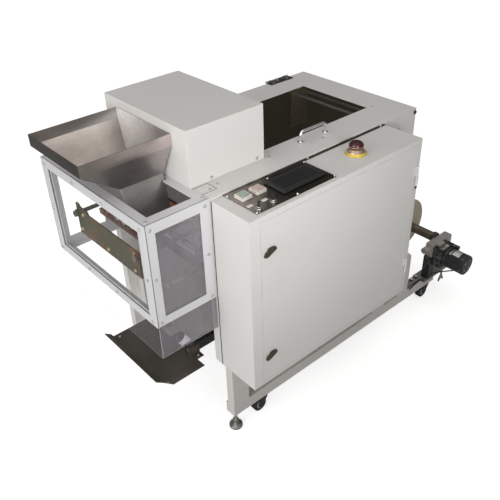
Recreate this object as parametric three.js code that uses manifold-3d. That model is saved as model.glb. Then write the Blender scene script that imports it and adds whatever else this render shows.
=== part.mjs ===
// Roll-fed automatic bagging machine: loading tray and funnel over a guarded seal station, a body
// with a hinged smoked lid, a control cabinet on the operator's side and a powered film unwind.
// Millimetres. X runs from the loading end to the roll end, Y from the operator's side to the far
// side, Z up. Pieces are laid out from the cabinet's lower loading-end corner and the finished
// group is then set down on the floor, centred in plan.
import * as THREE from "three";
import { mergeVertices } from "three/addons/utils/BufferGeometryUtils.js";
import Module from "manifold-3d";

const wasm = await Module();
wasm.setup();

// ---- driving dimensions ----
const GAP = 0.3; // clearance between pieces that touch
const SHEET = 2; // painted sheet thickness
const FLOOR = -314; // floor level below the cabinet's underside
const CABINET = { length: 652, depth: 140.6, height: 540 };
const BODY = { length: 811, near: 141, far: 632, height: 543 };
const DECK_TOP = 546.3;
const LID = { x0: 246, x1: 811, y0: 139.5, y1: 629 };
const WINDOW = { x0: 270, x1: 708, y0: 249, y1: 527 };
const HINGE_AXIS = { y: 633, z: 549.5 };
const HOOD = { x0: -7, x1: 240, y0: 211.6, y1: 578, top: 700 };
const GUARD = { x0: -191, y0: 143, y1: 656, bottom: 246, panelBottom: 138, strip: 30 };
const BEAM = { top: -212, bottom: -252, x1: 1073 };
const TRAY = { x0: -260, x1: -7.3, y0: 272, y1: 521, rim: 676, fold: 645 };
const OUTLET = { x0: -146, x1: -17, y0: 312, y1: 480, z: 560 };
const SPINDLE = { x: 1072, z: -60, radius: 17.5 };
const MOTOR = { x: 1049, z: -98, radius: 39 };
const WHEEL_RADIUS = 25;
const SIDES = 24; // facets round an ordinary cylinder

// ---- solids ----
function solid(geometry) {
  const bare = geometry.index ? geometry.toNonIndexed() : geometry.clone();
  bare.deleteAttribute("normal");
  bare.deleteAttribute("uv");
  const merged = mergeVertices(bare, 1e-4);
  const index = merged.index.array;
  const triangles = [];
  for (let i = 0; i < index.length; i += 3) {
    const [a, b, c] = index.slice(i, i + 3);
    if (a !== b && b !== c && c !== a) triangles.push(a, b, c);
  }
  return closed(merged.attributes.position.array, triangles);
}

function closed(vertices, triangles) {
  return new wasm.Manifold(
    new wasm.Mesh({
      numProp: 3,
      vertProperties: new Float32Array(vertices),
      triVerts: new Uint32Array(triangles),
    }),
  );
}

function box(x0, x1, y0, y1, z0, z1) {
  const geometry = new THREE.BoxGeometry(x1 - x0, y1 - y0, z1 - z0);
  return solid(geometry.translate((x0 + x1) / 2, (y0 + y1) / 2, (z0 + z1) / 2));
}

// A cylinder or cone along an axis from one end to the other; at is the centre on the other two axes.
function rod(axis, at, from, to, radius, endRadius = radius, sides = SIDES) {
  const geometry = new THREE.CylinderGeometry(endRadius, radius, to - from, sides);
  geometry.translate(0, (from + to) / 2, 0);
  if (axis === "z") geometry.rotateX(Math.PI / 2).translate(at[0], at[1], 0);
  if (axis === "x") geometry.rotateZ(-Math.PI / 2).translate(0, at[0], at[1]);
  if (axis === "y") geometry.translate(at[0], 0, at[1]);
  return solid(geometry);
}

// A flat outline in X and Z, given as pairs, thickened from y0 to y1.
function outlineXZ(points, y0, y1) {
  const shape = new THREE.Shape(points.map(([x, z]) => new THREE.Vector2(x, z)));
  const geometry = new THREE.ExtrudeGeometry(shape, { depth: y1 - y0, bevelEnabled: false });
  return solid(geometry.rotateX(Math.PI / 2).translate(0, y1, 0));
}

// A flat outline in X and Y, given as pairs, thickened from z0 to z1.
function outlineXY(points, z0, z1) {
  const shape = new THREE.Shape(points.map(([x, y]) => new THREE.Vector2(x, y)));
  const geometry = new THREE.ExtrudeGeometry(shape, { depth: z1 - z0, bevelEnabled: false });
  return solid(geometry.translate(0, 0, z0));
}

// A flat outline in Y and Z, given as pairs, thickened from x0 to x1.
function outlineYZ(points, x0, x1) {
  const shape = new THREE.Shape(points.map(([y, z]) => new THREE.Vector2(y, z)));
  const geometry = new THREE.ExtrudeGeometry(shape, { depth: x1 - x0, bevelEnabled: false });
  geometry.rotateZ(Math.PI / 2).rotateY(Math.PI / 2);
  return solid(geometry.translate(x0, 0, 0));
}

// A solid of revolution about an upright axis, from [radius, height] pairs listed from the bottom.
function turned(at, profile, sides = SIDES) {
  const points = profile.map(([radius, height]) => new THREE.Vector2(radius, height));
  const geometry = new THREE.LatheGeometry(points, sides);
  return solid(geometry.rotateX(Math.PI / 2).translate(at[0], at[1], 0));
}

// A solid through level rectangles [x0, x1, y0, y1], given as [rectangle, height] pairs from the bottom.
function loft(...levels) {
  const points = levels.flatMap(([[x0, x1, y0, y1], z]) => [
    [x0, y0, z],
    [x1, y0, z],
    [x1, y1, z],
    [x0, y1, z],
  ]);
  const top = 4 * (levels.length - 1);
  const faces = [
    [0, 3, 2, 1],
    [top, top + 1, top + 2, top + 3],
  ];
  for (let base = 0; base < top; base += 4) {
    for (let k = 0; k < 4; k++) {
      const next = (k + 1) % 4;
      faces.push([base + k, base + next, base + 4 + next, base + 4 + k]);
    }
  }
  return closed(
    points.flat(),
    faces.flatMap(([p, q, r, s]) => [p, q, r, p, r, s]),
  );
}

// A round bar that follows a path of points with its corners rounded off.
function bentBar(path, radius, bend, sides = 10) {
  const points = path.map((p) => new THREE.Vector3(...p));
  const line = [points[0]];
  for (let i = 1; i < points.length - 1; i++) {
    const into = points[i].clone().sub(points[i - 1]).normalize();
    const out = points[i + 1].clone().sub(points[i]).normalize();
    const a = points[i].clone().addScaledVector(into, -bend);
    const b = points[i].clone().addScaledVector(out, bend);
    const curve = new THREE.QuadraticBezierCurve3(a, points[i], b);
    line.push(...curve.getPoints(4));
  }
  line.push(points[points.length - 1]);
  const tangents = line.map((p, i) => {
    const ahead = line[Math.min(i + 1, line.length - 1)];
    const behind = line[Math.max(i - 1, 0)];
    return ahead.clone().sub(behind).normalize();
  });
  let side = new THREE.Vector3(0, 0, 1).cross(tangents[0]);
  if (side.length() < 0.1) side = new THREE.Vector3(0, 1, 0);
  const vertices = [];
  const triangles = [];
  line.forEach((p, i) => {
    side.addScaledVector(tangents[i], -side.dot(tangents[i])).normalize();
    const up = tangents[i].clone().cross(side);
    for (let k = 0; k < sides; k++) {
      const angle = (2 * Math.PI * k) / sides;
      const v = p.clone().addScaledVector(side, radius * Math.cos(angle));
      v.addScaledVector(up, radius * Math.sin(angle));
      vertices.push(v.x, v.y, v.z);
    }
  });
  const last = (line.length - 1) * sides;
  for (let k = 0; k < sides; k++) {
    const next = (k + 1) % sides;
    for (let i = 0; i < line.length - 1; i++) {
      const a = i * sides;
      const b = a + sides;
      triangles.push(a + k, a + next, b + next, a + k, b + next, b + k);
    }
    if (k > 0 && k < sides - 1) {
      triangles.push(0, k + 1, k, last, last + k, last + k + 1);
    }
  }
  return closed(vertices, triangles);
}

const join = (...solids) => solids.reduce((a, b) => a.add(b));
const cut = (body, ...tools) => tools.reduce((a, b) => a.subtract(b), body);

const journal = { y0: BODY.near + SHEET + GAP, y1: BODY.far - SHEET - GAP };

const group = new THREE.Group();
group.name = "bagging_machine";

function piece(name, body, color, metalness = 0, roughness = 0.5) {
  const made = body.getMesh();
  const geometry = new THREE.BufferGeometry();
  geometry.setAttribute("position", new THREE.BufferAttribute(made.vertProperties, 3));
  geometry.setIndex(new THREE.BufferAttribute(made.triVerts, 1));
  const flat = geometry.toNonIndexed();
  flat.computeVertexNormals();
  const material = new THREE.MeshStandardMaterial({ color, metalness, roughness });
  const mesh = new THREE.Mesh(flat, material);
  mesh.name = name;
  group.add(mesh);
}

const PAINT = 0xdad8d5;
const STEEL = 0xa7a39c;
const ALUMINIUM = 0xd8d8dc;
const BLACK = 0x1b1b1c;
const BRONZE = 0x5b5134;
const CLEAR = 0xdfe6e6;

// ---- welded base: two beams on legs, tied across ----
const MIDDLE = (BODY.near + BODY.far) / 2;
const mirrorY = (y) => 2 * MIDDLE - y;
const FOOT_X = 49;
const CASTER_X = [164, 1038];
const CASTER_Y = 162;

function sideFrame(flip) {
  const y = (a, b) => (flip ? [mirrorY(b), mirrorY(a)] : [a, b]);
  const footY = flip ? mirrorY(158) : 158;
  const post = [
    [838, BEAM.top - 1],
    [898, BEAM.top - 1],
    [898, -50],
    [878, -30],
    [838, -30],
  ];
  return cut(
    join(
      box(35, BEAM.x1, ...y(143.5, 182), BEAM.bottom, BEAM.top),
      box(35, 97, ...y(143.5, 173.5), BEAM.top - 1, 130),
      box(700, 762, ...y(143.5, 173.5), BEAM.top - 1, 130),
      outlineXZ(post, ...y(143.5, 173.5)),
    ),
    rod("z", [FOOT_X, footY], BEAM.bottom - 1, -188, 6.4),
  );
}

// Upright on the far beam that carries the free end of the spindle.
const spindlePost = cut(
  outlineXZ(
    [
      [1042, BEAM.top - 1],
      [1072, BEAM.top - 1],
      [1094, -70],
      [1094, -38],
      [1050, -38],
      [1050, -70],
    ],
    598,
    610,
  ),
  rod("y", [SPINDLE.x, SPINDLE.z], 590, 620, 8.4, 8.4, 16),
);
piece(
  "base_frame",
  join(
    sideFrame(false),
    sideFrame(true),
    box(340, 380, 181, mirrorY(181), BEAM.bottom, BEAM.top),
    box(715, 755, 181, mirrorY(181), BEAM.bottom, BEAM.top),
    spindlePost,
  ),
  PAINT,
);

// ---- body: folded side sheets joined by the rear sheet, open at the loading end and below ----
const LID_HINGES = [330, 632];

// Middle knuckles of a lid hinge on a strap welded up the outside of the far sheet.
function bodyKnuckles(x0) {
  const { y, z } = HINGE_AXIS;
  const section = [
    [BODY.far - 1, 505],
    [y + 2.9, 505],
    [y + 2.9, z],
    [y + 2, z + 2],
    [y, z + 2.9],
    [y - 2, z + 2],
    [y - 2.9, z],
    [y - 2, z - 2],
    [y - 0.4, z - 3],
    [y - 0.4, 538],
    [BODY.far - 1, 536],
  ];
  return outlineYZ(section, x0 + 26.5, x0 + 76.5);
}

const { length: bodyEnd, near, far } = BODY;
piece(
  "body_shell",
  cut(
    join(
      outlineXY(
        [
          [0, near],
          [bodyEnd, near],
          [bodyEnd, far],
          [SHEET, far],
          [SHEET, 658],
          [0, 658],
          [0, far - SHEET],
          [bodyEnd - SHEET, far - SHEET],
          [bodyEnd - SHEET, near + SHEET],
          [SHEET, near + SHEET],
          [SHEET, 170],
          [0, 170],
        ],
        BEAM.top + GAP,
        BODY.height,
      ),
      ...LID_HINGES.map(bodyKnuckles),
    ),
    box(-5, bodyEnd + 5, near - 5, far - 14, BEAM.top - 5, 0),
    box(bodyEnd - 5, bodyEnd + 5, 185, 585, 70, 140),
  ),
  PAINT,
);

piece(
  "deck_plate",
  cut(
    join(
      box(GAP, LID.x0 - 0.8, LID.y0, BODY.far, DECK_TOP - 3, DECK_TOP),
      box(150, 190, BODY.near + SHEET + GAP, BODY.far - SHEET - GAP, DECK_TOP - 20, DECK_TOP - 3),
    ),
    box(20, 140, 250, 540, DECK_TOP - 30, DECK_TOP + 5),
  ),
  PAINT,
);

piece(
  "hood",
  cut(
    box(HOOD.x0, HOOD.x1, HOOD.y0, HOOD.y1, DECK_TOP + GAP, HOOD.top),
    box(
      HOOD.x0 + SHEET,
      HOOD.x1 - SHEET,
      HOOD.y0 + SHEET,
      HOOD.y1 - SHEET,
      DECK_TOP - 1,
      HOOD.top - SHEET,
    ),
  ),
  PAINT,
);

// ---- hinged lid with its smoked window ----
piece(
  "lid_frame",
  cut(
    join(
      box(LID.x0, LID.x1, LID.y0, LID.y1, DECK_TOP - 3, DECK_TOP),
      cut(
        box(250, 800, 150, 618, DECK_TOP - 18, DECK_TOP - 2),
        box(252, 798, 152, 616, DECK_TOP - 19, DECK_TOP),
      ),
    ),
    box(WINDOW.x0, WINDOW.x1, WINDOW.y0, WINDOW.y1, DECK_TOP - 30, DECK_TOP + 5),
  ),
  PAINT,
);
const windowFit = [WINDOW.x0 - 12, WINDOW.x1 + 12, WINDOW.y0 - 12, WINDOW.y1 + 12];
piece(
  "lid_window",
  box(...windowFit, DECK_TOP - 8.3, DECK_TOP - 3 - GAP),
  0x2c2622,
);

const HANDLE = { x0: 377, x1: 477.5, y: 212.3, top: 578 };
piece(
  "lid_handle",
  join(
    bentBar(
      [
        [HANDLE.x0, HANDLE.y, DECK_TOP + 1],
        [HANDLE.x0, HANDLE.y, HANDLE.top],
        [HANDLE.x1, HANDLE.y, HANDLE.top],
        [HANDLE.x1, HANDLE.y, DECK_TOP + 1],
      ],
      4.5,
      13,
    ),
    rod("z", [HANDLE.x0, HANDLE.y], DECK_TOP + GAP, DECK_TOP + 4, 8.5, 8.5, 16),
    rod("z", [HANDLE.x1, HANDLE.y], DECK_TOP + GAP, DECK_TOP + 4, 8.5, 8.5, 16),
  ),
  0xcfcfd2,
  1,
  0.15,
);

// Lid half of each butt hinge: a leaf on the lid and the two outer knuckles.
function lidHinge(name, x0) {
  const x1 = x0 + 103;
  const axis = [HINGE_AXIS.y, HINGE_AXIS.z];
  piece(
    name,
    join(
      box(x0, x1, 604, 629.5, DECK_TOP + GAP, DECK_TOP + 3),
      box(x0, x0 + 26, 629, HINGE_AXIS.y, DECK_TOP + GAP, DECK_TOP + 3),
      box(x1 - 26, x1, 629, HINGE_AXIS.y, DECK_TOP + GAP, DECK_TOP + 3),
      rod("x", axis, x0, x0 + 26, 2.9, 2.9, 16),
      rod("x", axis, x1 - 26, x1, 2.9, 2.9, 16),
      rod("z", [x0 + 20, 614], DECK_TOP + 2, DECK_TOP + 5, 4.5, 4.5, 12),
      rod("z", [x1 - 20, 614], DECK_TOP + 2, DECK_TOP + 5, 4.5, 4.5, 12),
    ),
    BLACK,
  );
}
lidHinge("lid_hinge_left", LID_HINGES[0]);
lidHinge("lid_hinge_right", LID_HINGES[1]);


// ---- control cabinet ----
const DOOR = { x0: 34, x1: 640, z0: 12, z1: 523 };
const DOOR_AXIS = { x: 640, y: -4.5 };
const DOOR_HINGES = [
  [397, 457],
  [82, 135],
];
const LATCHES = [433, 96];
const SCREEN = { x0: 147, x1: 297, y0: 37, y1: 111 };
const BUTTONS = { start: [64.8, 94.5], stop: [111, 94.5] };
const TOGGLES = { left: [56, 28.5], right: [102.5, 29.5] };
const ESTOP = [445, 68];
const PLATE_TOP = CABINET.height + GAP + 1.5;

const aroundControls = [
  box(SCREEN.x0 + 7, SCREEN.x1 - 7, SCREEN.y0 + 7, SCREEN.y1 - 7, 500, 560),
  rod("z", BUTTONS.start, 500, 560, 11.5),
  rod("z", BUTTONS.stop, 500, 560, 11.5),
  rod("z", TOGGLES.left, 500, 560, 5.5, 5.5, 12),
  rod("z", TOGGLES.right, 500, 560, 5.5, 5.5, 12),
];

piece(
  "cabinet_shell",
  cut(
    join(
      cut(
        box(0, CABINET.length, 0, CABINET.depth, 0, CABINET.height),
        box(SHEET, CABINET.length - SHEET, SHEET, CABINET.depth - SHEET, SHEET, 538),
      ),
      ...DOOR_HINGES.map(([z0, z1]) =>
        join(
          rod("z", [DOOR_AXIS.x, DOOR_AXIS.y], z0, (z0 + z1) / 2 - 0.2, 4, 4, 16),
          box(DOOR_AXIS.x + 1, DOOR_AXIS.x + 7, DOOR_AXIS.y - 1, 1, z0, (z0 + z1) / 2 - 0.2),
        ),
      ),
    ),
    box(DOOR.x0 - 0.7, DOOR.x1 + 0.7, -1, SHEET + 1, DOOR.z0 - 0.7, DOOR.z1 + 0.7),
    ...aroundControls,
    rod("z", ESTOP, 500, 560, 11.5),
    rod("x", [60, 40], CABINET.length - 10, CABINET.length + 10, 10.3),
  ),
  PAINT,
);

piece(
  "cabinet_door",
  cut(
    join(
      cut(
        box(DOOR.x0, DOOR.x1, 0, 17, DOOR.z0, DOOR.z1),
        box(DOOR.x0 + 1.5, DOOR.x1 - 1.5, 1.5, 20, DOOR.z0 + 1.5, DOOR.z1 - 1.5),
      ),
      ...DOOR_HINGES.map(([z0, z1]) =>
        join(
          rod("z", [DOOR_AXIS.x, DOOR_AXIS.y], (z0 + z1) / 2 + 0.2, z1, 4, 4, 16),
          box(DOOR_AXIS.x - 8, DOOR_AXIS.x - 1, DOOR_AXIS.y - 1, 1, (z0 + z1) / 2 + 0.2, z1),
        ),
      ),
    ),
    ...LATCHES.map((z) => rod("y", [60, z], -1, 5, 8.3)),
  ),
  PAINT,
);

// Quarter-turn wing latch with its cam behind the door.
function latch(name, z) {
  piece(
    name,
    join(
      rod("y", [60, z], -4, 21, 8),
      outlineXZ(
        [
          [41, z - 8],
          [50, z - 10],
          [79, z + 3],
          [78, z + 10],
          [66, z + 12],
          [45, z + 1],
        ],
        -8,
        -2,
      ),
      box(54, 66, 18, 21, z - 9, z + 32),
    ),
    0x8f8a80,
    1,
    0.3,
  );
}
latch("door_latch_upper", LATCHES[0]);
latch("door_latch_lower", LATCHES[1]);

// Mounting plate with its drives and terminals inside the cabinet.
piece(
  "electrics_plate",
  join(
    box(30, 620, CABINET.depth - 8, CABINET.depth - SHEET - GAP, 30, 480),
    box(60, 190, 70, CABINET.depth - 7, 330, 450),
    box(220, 300, 60, CABINET.depth - 7, 320, 450),
    box(330, 400, 60, CABINET.depth - 7, 320, 450),
    box(60, 400, 85, CABINET.depth - 7, 220, 265),
    box(450, 590, 55, CABINET.depth - 7, 250, 450),
    box(60, 590, 95, CABINET.depth - 7, 70, 110),
  ),
  0x9aa0a3,
);

piece(
  "mains_inlet",
  join(
    rod("x", [60, 40], CABINET.length - 12, CABINET.length + 8, 9.8),
    rod("x", [60, 40], CABINET.length + GAP, CABINET.length + 10, 14, 14, 6),
    rod("x", [60, 40], CABINET.length + 9, CABINET.length + 22, 11, 8),
  ),
  BLACK,
);

// Bush and nut of a toggle switch, clamped through the plate.
const toggleBush = ([x, y]) =>
  join(
    rod("z", [x, y], 515, PLATE_TOP + 8, 5, 5, 12),
    rod("z", [x, y], PLATE_TOP - 1, PLATE_TOP + 4, 8.5, 8.5, 6),
  );
const toggleSocket = ([x, y]) => rod("z", [x, y], PLATE_TOP + 2, PLATE_TOP + 9, 2.4, 4.6, 12);
piece(
  "control_plate",
  cut(
    join(
      cut(
        join(
          box(36, 308, 13, 131.5, CABINET.height + GAP, PLATE_TOP),
          box(36, 650, 131, 140.4, CABINET.height + GAP, PLATE_TOP),
        ),
        ...aroundControls,
      ),
      ...Object.values(TOGGLES).map(toggleBush),
    ),
    ...Object.values(TOGGLES).map(toggleSocket),
  ),
  0x4a423c,
  1,
  0.2,
);

const { x0: sx0, x1: sx1, y0: sy0, y1: sy1 } = SCREEN;
piece(
  "touch_screen",
  cut(
    join(
      loft(
        [[sx0, sx1, sy0, sy1], PLATE_TOP + GAP],
        [[sx0, sx1, sy0, sy1], PLATE_TOP + 3],
        [[sx0 + 3, sx1 - 3, sy0 + 3, sy1 - 3], 550],
      ),
      box(sx0 + 8, sx1 - 8, sy0 + 8, sy1 - 8, 505, PLATE_TOP + 1),
    ),
    box(sx0 + 14, sx1 - 14, sy0 + 12, sy1 - 12, 548.8, 551),
  ),
  0x17181a,
);

function pushButton(name, [x, y], color) {
  const bezelTop = PLATE_TOP + 9;
  piece(
    name + "_bezel",
    cut(
      join(
        box(x - 16, x + 16, y - 16, y + 16, PLATE_TOP + GAP, bezelTop),
        rod("z", [x, y], 500, PLATE_TOP + 2, 11),
      ),
      box(x - 11.5, x + 11.5, y - 11.5, y + 11.5, bezelTop - 6.5, bezelTop + 1),
      rod("z", [x, y], 520, bezelTop, 5),
    ),
    0xe9e6dd,
  );
  piece(
    name,
    join(
      box(x - 11, x + 11, y - 11, y + 11, bezelTop - 2, bezelTop + 2.5),
      rod("z", [x, y], 526, bezelTop - 1, 4.5),
    ),
    color,
  );
}
pushButton("start_button", BUTTONS.start, 0x7fbf9a);
pushButton("stop_button", BUTTONS.stop, 0xd98f7f);

for (const [side, at] of Object.entries(TOGGLES)) {
  piece("toggle_bat_" + side, rod("z", at, PLATE_TOP + 3, PLATE_TOP + 21, 1.7, 4.2, 12), BLACK);
}

piece(
  "estop_base",
  cut(
    turned(
      ESTOP,
      [
        [0, 495],
        [11, 495],
        [11, CABINET.height + GAP],
        [30, CABINET.height + GAP],
        [30, 545],
        [27, 546],
        [19, 555],
        [0, 555],
      ],
      32,
    ),
    rod("z", ESTOP, 510, 560, 8.5),
  ),
  0xe0b92e,
);
piece(
  "estop_button",
  turned(
    ESTOP,
    [
      [0, 518],
      [8, 518],
      [8, 561],
      [18.5, 561],
      [20, 563],
      [20, 568],
      [16, 573],
      [0, 574],
    ],
    28,
  ),
  0x8f1622,
);

// ---- guard round the seal station ----
const G = GUARD;
const frontInner = G.x0 + 3 + GAP;
piece(
  "guard_front_frame",
  cut(
    box(G.x0, G.x0 + 3, G.y0, G.y1, G.bottom, DECK_TOP),
    box(G.x0 - 1, G.x0 + 5, G.y0 + 31, G.y1 - 31, 270, 520),
  ),
  ALUMINIUM,
);
function sideStrips(name, y0, y1) {
  piece(
    name,
    cut(
      box(frontInner, -GAP, y0, y1, G.bottom, DECK_TOP),
      box(-163, -32, y0 - 1, y1 + 1, 270, 518),
    ),
    ALUMINIUM,
  );
}
sideStrips("guard_near_frame", G.y0, G.y0 + 3);
sideStrips("guard_far_frame", G.y1 - 3, G.y1);

// Clear sheets behind the strips, reaching below them.
const clearNear = G.y0 + 3 + GAP;
const clearFar = G.y1 - 3 - GAP;
const angleX = frontInner + 3 + GAP;
const angleNear = clearNear + 3 + GAP;
const angleFar = clearFar - 3 - GAP;
const clearTop = DECK_TOP - 3 - GAP;
piece(
  "guard_front_panel",
  box(frontInner, frontInner + 3, clearNear, clearFar, G.panelBottom, clearTop),
  CLEAR,
);
const sideClear = [angleX, -1];
piece(
  "guard_near_panel",
  box(...sideClear, clearNear, clearNear + 3, G.panelBottom, clearTop),
  CLEAR,
);
piece(
  "guard_far_panel",
  box(...sideClear, clearFar - 3, clearFar, G.panelBottom, clearTop),
  CLEAR,
);

// Welded angle frame inside the sheets, with the flat strips that close the top.
const LEG = 27;
const topHole = join(
  box(G.x0 + G.strip, -G.strip, G.y0 + 32, G.y1 - 32, 500, 560),
  box(-60, -15, OUTLET.y0 - 14, OUTLET.y1 + 14, 500, 560),
);
const insideAngles = box(angleX + 2, 5, angleNear + 2, angleFar - 2, 0, 600);
const clearOfLegs = [
  box(angleX + LEG, 5, angleNear + LEG, angleFar - LEG, 0, 600),
  box(angleX - 1, angleX + 5, angleNear + LEG, angleFar - LEG, G.bottom + LEG, 518),
  box(angleX + LEG, -2 - LEG, angleNear - 1, angleFar + 1, G.bottom + LEG, 518),
];
piece(
  "guard_angle_frame",
  cut(
    join(
      cut(
        box(angleX, -1, angleNear, angleFar, G.bottom, DECK_TOP - 1.5),
        cut(insideAngles, box(-500, 500, 0, 900, 0, G.bottom + 2)),
        ...clearOfLegs,
      ),
      box(frontInner, -GAP, clearNear, clearFar, DECK_TOP - 3, DECK_TOP),
    ),
    topHole,
  ),
  ALUMINIUM,
);

// ---- loading tray, funnel and chute ----
const tray = [TRAY.x0, TRAY.x1, TRAY.y0, TRAY.y1];
const outlet = [OUTLET.x0, OUTLET.x1, OUTLET.y0, OUTLET.y1];
const inset = ([x0, x1, y0, y1], t) => [x0 + t, x1 - t, y0 + t, y1 - t];
piece(
  "loading_tray",
  cut(
    loft([outlet, OUTLET.z], [tray, TRAY.fold], [tray, TRAY.rim]),
    loft(
      [inset(outlet, 2), OUTLET.z - 1],
      [inset(outlet, 2), OUTLET.z + 0.5],
      [inset(tray, 2), TRAY.fold + 1.5],
      [inset(tray, 2), TRAY.rim + 1],
    ),
  ),
  STEEL,
  1,
  0.35,
);
const chuteTop = [OUTLET.x0 + 1, OUTLET.x1 - 1, OUTLET.y0 - 1, OUTLET.y1 + 1];
const chuteFoot = [-140, -33, 270, 522];
piece(
  "drop_chute",
  cut(
    loft([chuteFoot, 478], [chuteTop, OUTLET.z - GAP]),
    loft([inset(chuteFoot, 2), 477.9], [inset(chuteTop, 2), OUTLET.z]),
  ),
  STEEL,
  1,
  0.35,
);

// ---- sealing jaws ----
const JAW_RODS = [
  [248, 398],
  [552, 398],
];
piece(
  "seal_bar",
  join(
    outlineYZ(
      [
        [242, 332],
        [556, 332],
        [556, 430],
        [545, 430],
        [536, 422],
        [500, 422],
        [492, 412],
        [242, 412],
      ],
      -160,
      -155,
    ),
    ...JAW_RODS.map((at) => join(rod("x", at, -166, 70, 6), rod("x", at, -164, -155, 11))),
  ),
  BRONZE,
  1,
  0.4,
);
const NOTCHES = 11;
piece(
  "heater_bar",
  cut(
    join(
      box(-104, -90, 268, 532, 382, 398),
      box(-92, 60, 300, 312, 391, 398),
      box(-92, 60, 488, 500, 391, 398),
      box(50, 60, journal.y0, journal.y1, 370, 412),
    ),
    ...Array.from({ length: NOTCHES }, (_, i) =>
      box(-110, -98, 282 + i * 22, 288 + i * 22, 390, 399),
    ),
    ...JAW_RODS.map((at) => rod("x", at, 40, 65, 6.4)),
  ),
  0xb4663c,
  1,
  0.35,
);

// Cross rail with the plate the bags hang against and the two ears that carry the guide roller.
const rollerEar = (y) =>
  outlineXZ(
    [
      [6, 280],
      [32, 280],
      [32, 398],
      [-34, 398],
      [-34, 362],
      [6, 352],
    ],
    y,
    y + 3,
  );
piece(
  "bag_back_plate",
  cut(
    join(
      box(4, 7, 290, 510, -11, 275),
      box(4, 34, BODY.near + SHEET + GAP, BODY.far - SHEET - GAP, 262, 292),
      rollerEar(175),
      rollerEar(618),
    ),
    rod("y", [-20, 380], 170, 626, 5.4),
  ),
  PAINT,
);
piece(
  "guide_roller",
  join(
    rod("y", [-20, 380], 178.5, 617.5, 10),
    rod("y", [-20, 380], 170, 626, 5, 5, 16),
  ),
  0xc9c9cc,
  1,
  0.25,
);

// ---- film feed inside the body ----
function feedRoller(name, z, color) {
  piece(
    name,
    join(
      rod("y", [440, z], 190, 583, 24.8),
      rod("y", [440, z], journal.y0, journal.y1, 8, 8, 16),
    ),
    color,
  );
}
feedRoller("feed_roller_lower", 400, 0x2a2a2b);
feedRoller("feed_roller_upper", 450, 0x3a3835);
piece(
  "film_guide_rods",
  join(
    rod("y", [722, 500], journal.y0, journal.y1, 5, 5, 12),
    rod("y", [768, 500], journal.y0, journal.y1, 5, 5, 12),
    box(705, 785, 580, 583, 380, 512),
    box(705, 785, 190, 193, 470, 512),
  ),
  0xc0bfae,
  1,
  0.3,
);

// ---- bag shelf on its arm ----
const SHELF_PIVOT = [8, -45];
piece(
  "bag_shelf",
  join(
    outlineXY(
      [
        [-138, 256],
        [-118, 228],
        [-2, 228],
        [-2, 264],
        [24, 264],
        [24, 340],
        [-2, 340],
        [-2, 533],
        [-138, 533],
      ],
      -67,
      -65,
    ),
    outlineXZ(
      [
        [-138, -67],
        [-136, -65],
        [-158, -48],
        [-160, -50],
      ],
      256,
      545,
    ),
    box(-16, 24, 285.5, 288.5, -66, -32),
    box(-16, 24, 311.5, 314.5, -66, -32),
    rod("y", SHELF_PIVOT, 282, 318, 4, 4, 12),
  ),
  0x3a302a,
  0.6,
  0.5,
);
piece(
  "shelf_arm",
  cut(
    join(
      box(-12, 375, 289, 311, -60, -30),
      box(345, 375, 285, 315, BEAM.top + GAP, -30),
    ),
    rod("y", SHELF_PIVOT, 280, 320, 4.4, 4.4, 12),
  ),
  0x2a2624,
);

// ---- film unwind ----
piece(
  "unwind_bracket",
  cut(
    join(
      box(985, 1150, 126, 182, BEAM.top + GAP, BEAM.top + 6),
      box(1002, 1036, 128, 157, BEAM.top + 5, -105.6),
      box(902, 990, 148, 176, BEAM.top + GAP, BEAM.top + 9),
      ...[920, 948, 976].map((x) => rod("z", [x, 162], BEAM.top + 8, BEAM.top + 18, 7, 7, 6)),
    ),
    rod("z", [1125, 142], BEAM.top - 5, BEAM.top + 10, 4.4, 4.4, 12),
  ),
  0x8f8e8b,
);
piece(
  "unwind_housing",
  cut(
    join(
      box(1008, 1127, 126, 158, -105, -52),
      rod("x", [150, -76], 985, 1009, 12),
      box(1025, 1060, 110, 127, -57, -50),
    ),
    rod("y", [SPINDLE.x, SPINDLE.z], 140, 170, 7.8),
    box(1009.5, 1088.5, 100, 126.5, -200, -58.5),
  ),
  0xb9b4ae,
  1,
  0.4,
);
piece(
  "unwind_motor",
  join(
    box(1010, 1088, 86, 125.6, -137, -59),
    rod("y", [MOTOR.x, MOTOR.z], 2, 87, MOTOR.radius - 0.5, MOTOR.radius - 0.5, 32),
    rod("y", [MOTOR.x, MOTOR.z], 0, 3, 30, 30, 32),
    box(1070, 1086, 60, 87, -72, -58),
  ),
  BLACK,
);
piece(
  "motor_lead",
  bentBar(
    [
      [1055, 40, -141],
      [1052, 55, -150],
      [1040, 92, -168],
      [1010, 122, -178],
      [990, 124, -190],
      [962, 140, -200],
      [905, 138, -209],
    ],
    2.5,
    6,
    8,
  ),
  BLACK,
);
piece(
  "unwind_spindle",
  join(
    rod("y", [SPINDLE.x, SPINDLE.z], 171, 560, SPINDLE.radius),
    rod("y", [SPINDLE.x, SPINDLE.z], 158.5, 172, 22),
    rod("y", [SPINDLE.x, SPINDLE.z], 142, 159, 7.5, 7.5, 16),
    rod("y", [SPINDLE.x, SPINDLE.z], 559, 612, 8, 8, 16),
    rod("y", [SPINDLE.x, SPINDLE.z], 545, 550, 105, 105, 40),
  ),
  0x6e5a45,
  0.6,
  0.4,
);
piece(
  "roll_flange",
  cut(
    rod("y", [SPINDLE.x, SPINDLE.z], 300, 305, 105, 105, 40),
    rod("y", [SPINDLE.x, SPINDLE.z], 299, 306, SPINDLE.radius + 0.4),
  ),
  0x9b8b76,
);
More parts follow.
